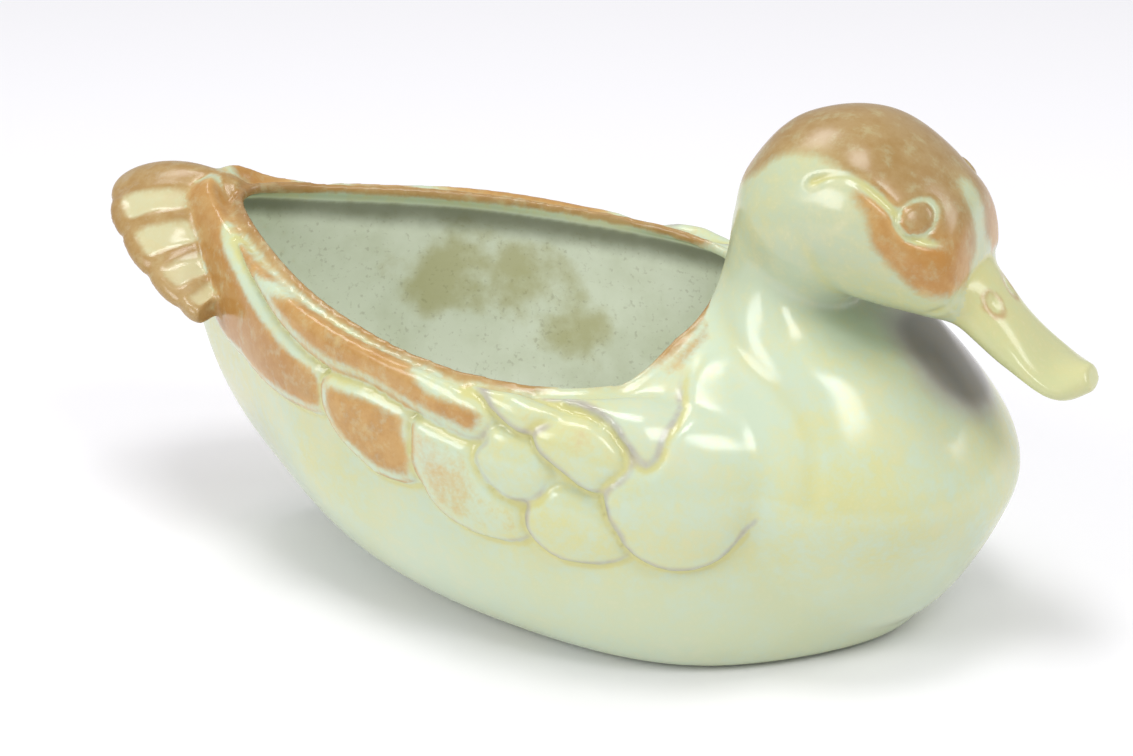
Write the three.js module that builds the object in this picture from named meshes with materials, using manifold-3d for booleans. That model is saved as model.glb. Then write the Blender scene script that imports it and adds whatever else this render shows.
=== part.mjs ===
// Duck planter: a hollow glazed duck with an open back, set up as clay sections.
// Millimetres, +Z up. The bill points along +X and the duck's left side is +Y.

import * as THREE from 'three'
import Module from 'manifold-3d'

const wasm = await Module()
wasm.setup()

// Body: rings at the foot, at the widest line and along the edge of the opening.
// Each half-width list runs from the stern to the breast.
const footStern = -34
const footBreast = 79
const footHalfWidths = [20, 25, 33, 37, 30]
const bellyStern = -101
const bellyBreast = 92
const bellyHalfWidths = [17, 45, 52.7, 57.4, 50]
const bellyHeights = [64, 47.5, 42, 39, 42]
const rimStern = -88
const rimNeck = 46.2
const rimHalfWidths = [24.2, 38.8, 48.2, 56.7, 66.2]
const rimMiddleHeight = 68.2
const rimSternRise = 12.2
const rimBreastDrop = 5.8
const rimNeckRise = 17.5
const rimNeckFrom = 0.78
const rimNeckCurve = 1.6
const keelRoundness = 2.2

// Wall of the casting, the rolled lip above it and the floor.
const wall = 3.8
const lipWidth = 4.2
const lipHeight = 2.4
const floorThickness = 6
const floorTurnLevel = 1.2
const lipTurnLevel = 1.6
const lipSink = 0.2

// Breast, neck and head: stations from the keel to the face. Each has a front
// point, a back point (both x, z) and a half-width.
const frontStations = [
  { front: [66, 1], back: [60, 1], half: 3 },
  { front: [88, 7], back: [38, 6], half: 25 },
  { front: [102.8, 29.5], back: [24, 28], half: 38 },
  { front: [104.3, 44.3], back: [24, 50], half: 41 },
  { front: [89.7, 65.7], back: [30, 70], half: 30 },
  { front: [76.1, 73], back: [40.2, 85], half: 22 },
  { front: [69.7, 77], back: [42.8, 97], half: 18.8 },
  { front: [72.8, 80.3], back: [46.1, 107], half: 21 },
  { front: [80, 78.8], back: [56.9, 117.7], half: 21.8 },
  { front: [85.7, 77.9], back: [75.4, 119.7], half: 21.9 },
  { front: [92.3, 77.4], back: [93.5, 106], half: 18.8 },
  { front: [96.1, 79.6], back: [96.9, 93.2], half: 13.3 },
  { front: [96, 87], back: [96.2, 88], half: 1.5 }
]
const neckJointHeight = 77.4

// Bill: the same kind of stations, from inside the face to the tip.
const billStations = [
  { front: [84, 81], back: [86, 97], half: 12.5 },
  { front: [94, 76], back: [97.3, 89.6], half: 11.5 },
  { front: [104.8, 68.3], back: [105.5, 79.1], half: 10.5 },
  { front: [117, 63], back: [113.4, 70.9], half: 10.8 },
  { front: [123.2, 64.6], back: [121, 69.6], half: 4 }
]

// Eyes: low raised ovals on the sides of the head, set from the top of the crown.
const eyeAhead = 12.8
const eyeBelow = 15.5
const eyeLong = 3.4
const eyeShort = 2.8
const eyeProud = 1.2
const eyeTurn = 12

// Wings: shells laid on the body, thick at the tips. Places around the body are in
// degrees from the breast. An edge starts at a level of the body and changes over
// stretches, each given as where it starts, where it ends and by how much.
const wingThickness = 3
const wingTipThickness = 6.2
const wingTipEnd = 208
const wingSternAngle = 188
const wingShoulderAngle = 337
const wingShoulderThinFrom = 318
const wingShoulderShare = 0.45
const wingInset = 2.5
const wingLowerEdge = {
  start: 1.25,
  changes: [[190, 214, -0.3], [214, 250, 0.2], [250, 268, -0.2], [268, 300, -0.03], [306, 345, 0.75]]
}
const wingUpperEdge = { start: 1.9, changes: [[200, 235, -0.12], [235, 300, 0.12]] }
const featherStep = 0.9
const featherCount = 5
const featherStart = [205, 225]
const featherEnd = [270, 300]

// Tail: a scalloped fan behind the stern.
const tailX = -119.5
const tailRootX = -80
const tailRootSet = 6
const tailRootShare = 0.4
const tailHalfWidth = 30.5
const tailEdgeHeight = 79.8
const tailSideHeight = 62
const tailThickness = 6.5
const tailArch = 3
const tailSpread = 88
const tailMiddleShare = 0.2
const tailSideFeathers = 4
const tailScallop = 1.1
const tailEdgeCurve = 1.6
const tailDroopCurve = 2.2
const tailSeamShare = 0.8

// Space left at curved joints.
const clearance = 0.3

// How finely the curved forms are faceted.
const bodyColumns = 48
const bodyRows = 17
const hollowRows = 14
const lipRows = 6
const frontRows = 34
const frontColumns = 32
const billRows = 15
const billColumns = 20
const wingStations = 34
const wingTopPoints = 17
const wingUnderPoints = 5
const tailStations = 55
const tailPoints = 8
const eyeColumns = 16
const eyeRows = 8

const degree = Math.PI / 180

// The top of the head is the station with the highest back point.
const crown = frontStations.reduce((top, next) => (next.back[1] > top.back[1] ? next : top)).back

// Smooth curve through evenly spaced values, u from 0 to 1.
function through(values, u) {
  const last = values.length - 1
  const at = THREE.MathUtils.clamp(u, 0, 1) * last
  const i = Math.min(Math.floor(at), last - 1)
  const t = at - i
  const slope = (k) => {
    const before = Math.max(k - 1, 0)
    const after = Math.min(k + 1, last)
    return (values[after] - values[before]) / (after - before)
  }
  const a = values[i]
  const b = values[i + 1]
  const rise = t * t * (3 - 2 * t)
  return a + (b - a) * rise + t * (1 - t) * (1 - t) * slope(i) - t * t * (1 - t) * slope(i + 1)
}

// Smooth step from 0 to 1 between two values.
function ease(value, from, to) {
  return THREE.MathUtils.smoothstep((value - from) / (to - from), 0, 1)
}

// A ring around the body: the angle is 0 at the breast and 180 at the stern.
function ringPoint(stern, breast, halfWidths, height, angle, grow) {
  const c = Math.cos(angle)
  const x = (stern + breast) / 2 + ((breast - stern) / 2 + grow) * c
  const y = (through(halfWidths, (c + 1) / 2) + grow) * Math.sin(angle)
  return new THREE.Vector3(x, y, height(c))
}

const footRing = (angle, grow = 0) =>
  ringPoint(footStern, footBreast, footHalfWidths, () => 0, angle, grow)

const bellyRing = (angle, grow = 0) =>
  ringPoint(bellyStern, bellyBreast, bellyHalfWidths, (c) => through(bellyHeights, (c + 1) / 2), angle, grow)

function rimHeight(c) {
  const rise = (rimSternRise - rimBreastDrop) / 2
  const tilt = (rimSternRise + rimBreastDrop) / 2
  const neck = Math.max(c - rimNeckFrom, 0) / (1 - rimNeckFrom)
  return rimMiddleHeight + rise * c * c - tilt * c + rimNeckRise * Math.pow(neck, rimNeckCurve)
}

const rimRing = (angle, grow = 0) =>
  ringPoint(rimStern, rimNeck, rimHalfWidths, rimHeight, angle, grow)

// The body's outer surface: level 0 is the foot, 1 the widest line, 2 the rim.
function bodyPoint(angle, level, grow = 0) {
  const foot = footRing(angle, grow)
  const belly = bellyRing(angle, grow)
  const rim = rimRing(angle, grow)
  if (level <= 1) {
    const turn = (level * Math.PI) / 2
    const out = Math.pow(Math.sin(turn), 2 / keelRoundness)
    const up = 1 - Math.pow(Math.cos(turn), 2 / keelRoundness)
    return new THREE.Vector3(
      foot.x + (belly.x - foot.x) * out,
      foot.y + (belly.y - foot.y) * out,
      foot.z + (belly.z - foot.z) * up
    )
  }
  const turn = ((level - 1) * Math.PI) / 2
  const inward = 1 - Math.cos(turn)
  const up = Math.sin(turn)
  return new THREE.Vector3(
    belly.x + (rim.x - belly.x) * inward,
    belly.y + (rim.y - belly.y) * inward,
    belly.z + (rim.z - belly.z) * up
  )
}

function bodyNormal(angle, level) {
  const step = 0.01
  const around = bodyPoint(angle + step, level).sub(bodyPoint(angle - step, level))
  const upward = bodyPoint(angle, Math.min(level + step, 2)).sub(bodyPoint(angle, Math.max(level - step, 0)))
  return around.cross(upward).normalize()
}

// One closed skin over rows of points. Rows that close around are capped at both
// ends by a middle point.
function skinRows(rows) {
  const columns = rows[0].length
  const points = rows.flat()
  const faces = []
  for (let i = 0; i < rows.length - 1; i += 1) {
    for (let j = 0; j < columns; j += 1) {
      const next = (j + 1) % columns
      const a = i * columns + j
      const b = i * columns + next
      faces.push(a, b, b + columns, a, b + columns, a + columns)
    }
  }
  const middleOf = (row) =>
    row.reduce((sum, p) => sum.add(p), new THREE.Vector3()).divideScalar(row.length)
  const lastRow = (rows.length - 1) * columns
  points.push(middleOf(rows[0]), middleOf(rows[rows.length - 1]))
  for (let j = 0; j < columns; j += 1) {
    const next = (j + 1) % columns
    faces.push(points.length - 2, next, j)
    faces.push(points.length - 1, lastRow + j, lastRow + next)
  }
  return { points, faces }
}

// A solid from a skin, turned inside out where its rows ran the other way.
function solidFrom(skin) {
  const volume = signedVolume(skin)
  const triVerts = Uint32Array.from(skin.faces)
  if (volume < 0) {
    for (let i = 0; i < triVerts.length; i += 3) {
      const swap = triVerts[i + 1]
      triVerts[i + 1] = triVerts[i + 2]
      triVerts[i + 2] = swap
    }
  }
  const vertProperties = new Float32Array(skin.points.flatMap((p) => [p.x, p.y, p.z]))
  return new wasm.Manifold(new wasm.Mesh({ numProp: 3, vertProperties, triVerts }))
}

function signedVolume({ points, faces }) {
  let sum = 0
  for (let i = 0; i < faces.length; i += 3) {
    const [a, b, c] = [points[faces[i]], points[faces[i + 1]], points[faces[i + 2]]]
    sum += a.dot(new THREE.Vector3().crossVectors(b, c)) / 6
  }
  return sum
}

const around = (count, make) =>
  Array.from({ length: count }, (_, i) => make((i / count) * 2 * Math.PI))
const along = (count, make) => Array.from({ length: count }, (_, i) => make(i / (count - 1)))

// Solid body without its hollow.
function bodySolid(grow = 0) {
  const rows = along(bodyRows, (u) => around(bodyColumns, (angle) => bodyPoint(angle, 2 * u, grow)))
  return solidFrom(skinRows(rows))
}

// The hollow: the body's own form drawn in by the wall, under a narrower mouth.
function hollowPoint(angle, level) {
  const belly = bodyPoint(angle, level, -wall)
  const lift = floorThickness * (1 - ease(level, 0, floorTurnLevel))
  const squeeze = (wall - lipWidth) * ease(level, lipTurnLevel, 2)
  const middle = new THREE.Vector3((rimStern + rimNeck) / 2, 0, belly.z)
  const outward = belly.clone().sub(middle).normalize().multiplyScalar(squeeze)
  return belly.add(outward).setZ(belly.z + lift)
}

function hollowSolid() {
  const rows = along(hollowRows, (u) => around(bodyColumns, (angle) => hollowPoint(angle, 2 * u)))
  const mouth = rows[rows.length - 1]
  const above = mouth.map((p) => p.clone().setZ(p.z + 3 * lipHeight))
  return solidFrom(skinRows([...rows, above]))
}

// The rolled lip: half a round from the outer edge of the wall to its inner edge.
function lipSolid(grow = 0) {
  const rows = along(lipRows, (u) => {
    const turn = u * Math.PI
    return around(bodyColumns, (angle) => {
      const outer = bodyPoint(angle, 2)
      const inner = hollowPoint(angle, 2)
      const middle = outer.clone().add(inner).multiplyScalar(0.5)
      const half = outer.sub(middle)
      const reach = half.setLength(half.length() + grow).multiplyScalar(Math.cos(turn))
      const lift = (lipHeight + grow) * Math.sin(turn) - lipSink
      return middle.add(reach).add(new THREE.Vector3(0, 0, lift))
    })
  })
  const below = (row) => row.map((p) => p.clone().setZ(p.z - lipHeight))
  const ringRows = [...rows, below(rows[rows.length - 1]), below(rows[0])]
  return solidFrom(closedRing(ringRows))
}

// A skin over rows that also close end to end, like a hoop.
function closedRing(rows) {
  const columns = rows[0].length
  const faces = []
  for (let i = 0; i < rows.length; i += 1) {
    const nextRow = ((i + 1) % rows.length) * columns
    for (let j = 0; j < columns; j += 1) {
      const next = (j + 1) % columns
      const a = i * columns + j
      const b = i * columns + next
      faces.push(a, b, nextRow + next, a, nextRow + next, nextRow + j)
    }
  }
  return { points: rows.flat(), faces }
}

// A loft through stations that lie across the duck. Grown, it also moves out at its end.
function loftSolid(stations, rowCount, columns, grow = 0) {
  const track = (pick) => stations.map(pick)
  const tracks = [
    track((s) => s.front[0]),
    track((s) => s.front[1]),
    track((s) => s.back[0]),
    track((s) => s.back[1]),
    track((s) => s.half)
  ]
  const rows = along(rowCount, (u) => {
    const [frontX, frontZ, backX, backZ, half] = tracks.map((values) => through(values, u))
    const middle = new THREE.Vector3((frontX + backX) / 2, 0, (frontZ + backZ) / 2)
    const reach = new THREE.Vector3(frontX, 0, frontZ).sub(middle)
    reach.setLength(reach.length() + grow)
    const side = new THREE.Vector3(0, Math.max(half, 0.5) + grow, 0)
    middle.x += 1.3 * grow * ease(u, 0.75, 0.9)
    return around(columns, (angle) =>
      middle.clone().addScaledVector(reach, Math.cos(angle)).addScaledVector(side, Math.sin(angle))
    )
  })
  return solidFrom(skinRows(rows))
}

// The body level of a wing's edge at a place around the body.
function edgeLevel({ start, changes }, degrees) {
  return changes.reduce((level, [from, to, change]) => level + change * ease(degrees, from, to), start)
}

// How far a wing stands out from the body at a place along and across it. Its long
// edges are round, and the feathers between them rise like steps.
function wingHeight(degrees, across) {
  const tip = (wingTipThickness - wingThickness) * (1 - ease(degrees, wingSternAngle, wingTipEnd))
  const edges = Math.sqrt(Math.max(1 - Math.pow(Math.abs(2 * across - 1), 6), 0))
  const row = (across * featherCount) % 1
  const shown = ease(degrees, ...featherStart) * (1 - ease(degrees, ...featherEnd))
  const steps = featherStep * (row - 0.5) * shown
  const thinning = (1 - wingShoulderShare) * ease(degrees, wingShoulderThinFrom, wingShoulderAngle)
  return (wingThickness + tip + steps) * edges * (1 - thinning)
}

// A wing's skin, side -1 for the right one. Grown, it is also longer and wider.
function wingSkin(side, grow) {
  const first = wingSternAngle - 3 * grow
  const last = wingShoulderAngle + 3 * grow
  const rows = along(wingStations, (u) => {
    const degrees = first + (last - first) * u
    const ends = Math.sqrt(Math.max(1 - Math.pow(Math.abs(2 * u - 1), 12), 0.04))
    const lower = edgeLevel(wingLowerEdge, degrees) - 0.01 * grow
    const upper = edgeLevel(wingUpperEdge, degrees) + 0.01 * grow
    const place = (across, lift) => {
      const level = lower + (upper - lower) * across
      const angle = degrees * degree
      const point = bodyPoint(angle, level).addScaledVector(bodyNormal(angle, level), lift)
      return point.setY(-point.y * side)
    }
    const top = along(wingTopPoints, (v) => place(v, (wingHeight(degrees, v) + grow) * ends))
    const under = along(wingUnderPoints, (v) => place(1 - v, -wingInset))
    return [...top, ...under]
  })
  return skinRows(rows)
}

// How far into its feather a place across the tail lies: 0 at the edges, 1 in the middle.
// The middle feather is wide and the rest share each side.
function tailFeather(share) {
  const sideways = ((share - tailMiddleShare) / (1 - tailMiddleShare)) * tailSideFeathers
  const within = share < tailMiddleShare ? 0.5 + (0.5 * share) / tailMiddleShare : sideways % 1
  return Math.abs(Math.sin(within * Math.PI))
}

// The tail fan: feathers spread around the stern, thick at the root, rounded at the edge.
function tailSolid() {
  const spread = tailSpread * degree
  const rows = along(tailStations, (u) => {
    const angle = spread * (2 * u - 1)
    const c = Math.cos(angle)
    const feather = tailFeather(Math.abs(2 * u - 1))
    const scallop = tailScallop * Math.sqrt(feather)
    const edge = new THREE.Vector3(
      tailRootX + (tailX - tailRootX) * Math.pow(c, tailEdgeCurve) - scallop * c,
      (tailHalfWidth + scallop) * Math.sin(angle),
      tailSideHeight + (tailEdgeHeight - tailSideHeight) * Math.pow(c, tailDroopCurve)
    )
    const root = new THREE.Vector3(
      tailRootX - tailRootSet * c,
      tailRootShare * tailHalfWidth * Math.sin(angle),
      edge.z + 0.5 * tailArch * c
    )
    const fullness = tailSeamShare + (1 - tailSeamShare) * feather
    const half = (v) => 0.5 * tailThickness * Math.sqrt(1 - Math.pow(v, 8)) * fullness
    const line = (v, sign) => {
      const point = root.clone().lerp(edge, v)
      return point.setZ(point.z + tailArch * c * Math.sin(v * Math.PI) + sign * half(v))
    }
    const top = along(tailPoints, (v) => line(Math.sin((v * Math.PI) / 2), 1))
    const under = along(tailPoints, (v) => line(Math.cos((v * Math.PI) / 2), -1)).slice(1)
    return [...top, ...under]
  })
  return solidFrom(skinRows(rows))
}

function eyeSolid(side) {
  const ball = mergeCorners(new THREE.SphereGeometry(1, eyeColumns, eyeRows))
  const [crownX, crownZ] = crown
  const eyeX = crownX + eyeAhead
  const eyeZ = crownZ - eyeBelow
  const place = new THREE.Matrix4().compose(
    new THREE.Vector3(eyeX, side * headSideAt(eyeX, eyeZ), eyeZ),
    new THREE.Quaternion().setFromAxisAngle(new THREE.Vector3(0, 0, 1), -side * eyeTurn * degree),
    new THREE.Vector3(eyeLong, eyeProud, eyeShort)
  )
  ball.points.forEach((p) => p.applyMatrix4(place))
  return solidFrom(ball)
}

// A geometry's triangles with the corners that meet made one.
function mergeCorners(geometry) {
  const position = geometry.getAttribute('position')
  const seen = new Map()
  const points = []
  const renamed = Array.from({ length: position.count }, (_, i) => {
    const p = new THREE.Vector3().fromBufferAttribute(position, i)
    const key = p.toArray().map((v) => Math.round(v * 1e5)).join()
    if (!seen.has(key)) {
      seen.set(key, points.length)
      points.push(p)
    }
    return seen.get(key)
  })
  const faces = []
  const index = geometry.getIndex()
  for (let i = 0; i < index.count; i += 3) {
    const corner = [0, 1, 2].map((k) => renamed[index.getX(i + k)])
    if (new Set(corner).size === 3) faces.push(...corner)
  }
  return { points, faces }
}

// Half-width of the head at a place on its side, from the loft itself.
function headSideAt(x, z) {
  const span = 2 * Math.max(...bellyHalfWidths)
  const post = mergeCorners(new THREE.BoxGeometry(1, span, 1).translate(x, 0, z))
  return solidFrom(post).intersect(frontSolid).boundingBox().max[1]
}

// The room over the flat neck joint, ahead of the duck's middle.
function aboveNeckJoint() {
  const side = 2 * crown[1]
  const room = new THREE.BoxGeometry(side, side, side)
  return solidFrom(mergeCorners(room.translate(side / 2, 0, neckJointHeight + side / 2)))
}

// Parts put together: joins, cuts and the joint at the neck.
const frontSolid = loftSolid(frontStations, frontRows, frontColumns)
const frontSpace = loftSolid(frontStations, frontRows, frontColumns, clearance)
const bodySpace = bodySolid(clearance).add(lipSolid(clearance))
const hollow = hollowSolid()

const casting = bodySolid().add(frontSolid.subtract(hollow)).add(lipSolid())
const opened = casting.subtract(hollow)
const neckAndHead = opened.intersect(aboveNeckJoint())
const basin = opened.subtract(aboveNeckJoint())

const wings = [-1, 1].map((side) => {
  const shell = solidFrom(wingSkin(side, 0))
  const half = shell.trimByPlane([0, side, 0], clearance / 2)
  return half.subtract(bodySpace).subtract(frontSpace)
})
const wingSpaces = [-1, 1].map((side) => solidFrom(wingSkin(side, clearance)))
const tail = wingSpaces.reduce((solid, space) => solid.subtract(space), tailSolid().subtract(bodySpace))
const bill = loftSolid(billStations, billRows, billColumns).subtract(frontSpace)
const eyes = [-1, 1].map((side) => eyeSolid(side).subtract(frontSpace))

// The largest body of a cut, without the slivers that a cut can leave.
function largest(solid) {
  return solid.decompose().sort((a, b) => b.volume() - a.volume())[0]
}

const glaze = {
  mint: { color: 0xc3cfa9, roughness: 0.28, metalness: 0 },
  breast: { color: 0xc9d2b4, roughness: 0.27, metalness: 0 },
  rust: { color: 0xb98a5c, roughness: 0.3, metalness: 0 },
  straw: { color: 0xcdb58a, roughness: 0.28, metalness: 0 },
  bill: { color: 0xcfc58f, roughness: 0.25, metalness: 0 },
  eye: { color: 0xa87847, roughness: 0.22, metalness: 0 }
}

function meshOf(name, solid, look) {
  const { numProp, vertProperties, triVerts } = largest(solid).getMesh()
  const position = []
  for (let i = 0; i < vertProperties.length; i += numProp) {
    position.push(vertProperties[i], vertProperties[i + 1], vertProperties[i + 2])
  }
  const geometry = new THREE.BufferGeometry()
  geometry.setAttribute('position', new THREE.Float32BufferAttribute(position, 3))
  geometry.setIndex(Array.from(triVerts))
  geometry.computeVertexNormals()
  const mesh = new THREE.Mesh(geometry, new THREE.MeshStandardMaterial(look))
  mesh.name = name
  return mesh
}

const duck = new THREE.Group()
duck.name = 'duck_planter'
duck.add(
  meshOf('basin', basin, glaze.mint),
  meshOf('neck_and_head', neckAndHead, glaze.breast),
  meshOf('bill', bill, glaze.bill),
  meshOf('wing_right', wings[0], glaze.straw),
  meshOf('wing_left', wings[1], glaze.straw),
  meshOf('tail_fan', tail, glaze.rust),
  meshOf('eye_right', eyes[0], glaze.eye),
  meshOf('eye_left', eyes[1], glaze.eye)
)

// The origin is under the middle of the whole duck, on the ground.
const box = new THREE.Box3().setFromObject(duck)
const middle = box.getCenter(new THREE.Vector3())
duck.children.forEach((mesh) => mesh.geometry.translate(-middle.x, -middle.y, -box.min.z))

export default duck
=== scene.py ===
# Duck planter: one fired skin of glazed clay, carved feathers and a small photo studio.
# Sizes are in millimetres until a mesh is made, then metres. The bill points along +X.

import math

import bpy
import numpy as np
from mathutils import Matrix, Vector, kdtree


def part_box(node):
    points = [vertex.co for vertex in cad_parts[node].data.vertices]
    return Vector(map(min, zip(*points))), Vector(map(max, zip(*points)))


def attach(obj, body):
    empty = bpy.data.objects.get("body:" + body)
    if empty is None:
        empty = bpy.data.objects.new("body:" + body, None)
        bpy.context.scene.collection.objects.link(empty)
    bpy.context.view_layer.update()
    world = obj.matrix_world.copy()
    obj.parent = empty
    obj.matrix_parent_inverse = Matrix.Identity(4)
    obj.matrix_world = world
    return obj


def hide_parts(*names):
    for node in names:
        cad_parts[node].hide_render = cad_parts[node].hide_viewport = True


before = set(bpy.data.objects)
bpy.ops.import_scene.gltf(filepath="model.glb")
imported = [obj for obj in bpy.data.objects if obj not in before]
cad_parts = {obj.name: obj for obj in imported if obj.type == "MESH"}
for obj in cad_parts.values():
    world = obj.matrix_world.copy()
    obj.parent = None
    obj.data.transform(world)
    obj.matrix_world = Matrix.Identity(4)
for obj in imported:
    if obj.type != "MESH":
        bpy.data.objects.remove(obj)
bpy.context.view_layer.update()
mm = 0.001
scene = bpy.context.scene


# Small helpers on arrays

def through(values, u):  # smooth curve through evenly spaced values, u from 0 to 1
    values = np.asarray(values, float)
    last = len(values) - 1
    at = np.clip(np.asarray(u, float), 0, 1) * last
    i = np.minimum(at.astype(int), last - 1)
    t = at - i
    slopes = np.gradient(values)
    rise = t * t * (3 - 2 * t)
    a, b = values[i], values[i + 1]
    return a + (b - a) * rise + t * (1 - t) * ((1 - t) * slopes[i] - t * slopes[i + 1])


def ease(value, start, end):
    t = np.clip((np.asarray(value, float) - start) / (end - start), 0, 1)
    return t * t * (3 - 2 * t)


def hump(value, middle, width):
    return np.exp(-((np.asarray(value, float) - middle) / width) ** 2)


def unit(v):
    return v / np.maximum(np.linalg.norm(v, axis=-1, keepdims=True), 1e-9)


def closedCurve(points, count):  # smooth loop through a few places
    p = np.asarray(points, float)
    n = len(p)
    t = np.linspace(0, n, count, endpoint=False)
    i = t.astype(int)
    t = (t - i)[:, None]
    a, b, c, d = p[(i - 1) % n], p[i % n], p[(i + 1) % n], p[(i + 2) % n]
    return b + 0.5 * t * (c - a + t * (2 * a - 5 * b + 4 * c - d + t * (3 * (b - c) + d - a)))


def openCurve(points, count):
    p = np.asarray(points, float)
    u = np.linspace(0, 1, count)
    return np.stack([through(p[:, k], u) for k in range(p.shape[1])], -1)


def nearestDistance(places, curve):  # distance from each place to a densely sampled curve
    best = np.full(len(places), 1e9)
    for start in range(0, len(places), 20000):
        part = places[start:start + 20000]
        gap = ((part[:, None, :] - curve[None]) ** 2).sum(-1).min(1)
        best[start:start + 20000] = np.sqrt(gap)
    return best


def insideLoop(u, v, loop):
    inside = np.zeros(u.shape, bool)
    before = np.roll(loop, 1, axis=0)
    for (x1, y1), (x2, y2) in zip(loop, before):
        crosses = (y1 > v) != (y2 > v)
        if y1 != y2:
            inside ^= crosses & (u < (x2 - x1) * (v - y1) / (y2 - y1) + x1)
    return inside


# Body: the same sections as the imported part

body = {
    "foot": (-34, 79), "footHalf": [20, 25, 33, 37, 30],
    "belly": (-101, 92), "bellyHalf": [17, 45, 52.7, 57.4, 50],
    "bellyHeight": [64, 47.5, 42, 39, 42],
    "rim": (-88, 46.2), "rimHalf": [24.2, 38.8, 48.2, 56.7, 66.2],
    "rimMiddle": 68.2, "rimSternRise": 12.2, "rimBreastDrop": 5.8, "rimNeckRise": 17.5,
    "keel": 2.2, "wall": 3.8, "lipWidth": 4.2, "lipHeight": 2.4, "floor": 6.0,
    "columns": 900, "rows": 170,
}


def ringPoint(ends, halves, height, angle, grow):
    c = np.cos(angle)
    x = (ends[0] + ends[1]) / 2 + ((ends[1] - ends[0]) / 2 + grow) * c
    y = (through(halves, (c + 1) / 2) + grow) * np.sin(angle)
    return np.stack([x, y, height(c)], -1)


def rimHeight(c):
    rise = (body["rimSternRise"] - body["rimBreastDrop"]) / 2
    tilt = (body["rimSternRise"] + body["rimBreastDrop"]) / 2
    neck = np.maximum(c - 0.78, 0) / 0.22
    return body["rimMiddle"] + rise * c * c - tilt * c + body["rimNeckRise"] * neck ** 1.6


def bodyPoint(angle, level, grow=0.0):  # level 0 is the foot, 1 the widest line, 2 the rim
    angle, level = np.broadcast_arrays(np.asarray(angle, float), np.asarray(level, float))
    foot = ringPoint(body["foot"], body["footHalf"], lambda c: c * 0, angle, grow)
    belly = ringPoint(body["belly"], body["bellyHalf"],
                      lambda c: through(body["bellyHeight"], (c + 1) / 2), angle, grow)
    rim = ringPoint(body["rim"], body["rimHalf"], rimHeight, angle, grow)
    low = np.clip(level, 0, 1) * math.pi / 2
    out = np.sin(low) ** (2 / body["keel"])
    up = 1 - np.cos(low) ** (2 / body["keel"])
    under = foot + (belly - foot) * np.stack([out, out, up], -1)
    high = np.clip(level - 1, 0, 1) * math.pi / 2
    inward, lift = 1 - np.cos(high), np.sin(high)
    over = belly + (rim - belly) * np.stack([inward, inward, lift], -1)
    return np.where((level <= 1)[..., None], under, over)


def bodyNormal(angle, level):
    step = 0.01
    across = bodyPoint(angle + step, level) - bodyPoint(angle - step, level)
    upward = bodyPoint(angle, np.minimum(level + step, 2)) - bodyPoint(angle, np.maximum(level - step, 0))
    return unit(np.cross(across, upward))


def hollowPoint(angle, level):
    angle, level = np.broadcast_arrays(np.asarray(angle, float), np.asarray(level, float))
    point = bodyPoint(angle, level, -body["wall"])
    middle = point.copy()
    middle[..., 0] = (body["rim"][0] + body["rim"][1]) / 2
    middle[..., 1] = 0
    squeeze = (body["wall"] - body["lipWidth"]) * ease(level, 1.62, 1.78)
    point = point + unit(point - middle) * squeeze[..., None]
    point[..., 2] += body["floor"] * (1 - ease(level, 0, 1.2))
    return point


# Wings: feathers carved on the flanks, laid like tiles from the stern forwards
# Each loop is (degrees round the body, level); the mirror image is the other wing.

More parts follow.
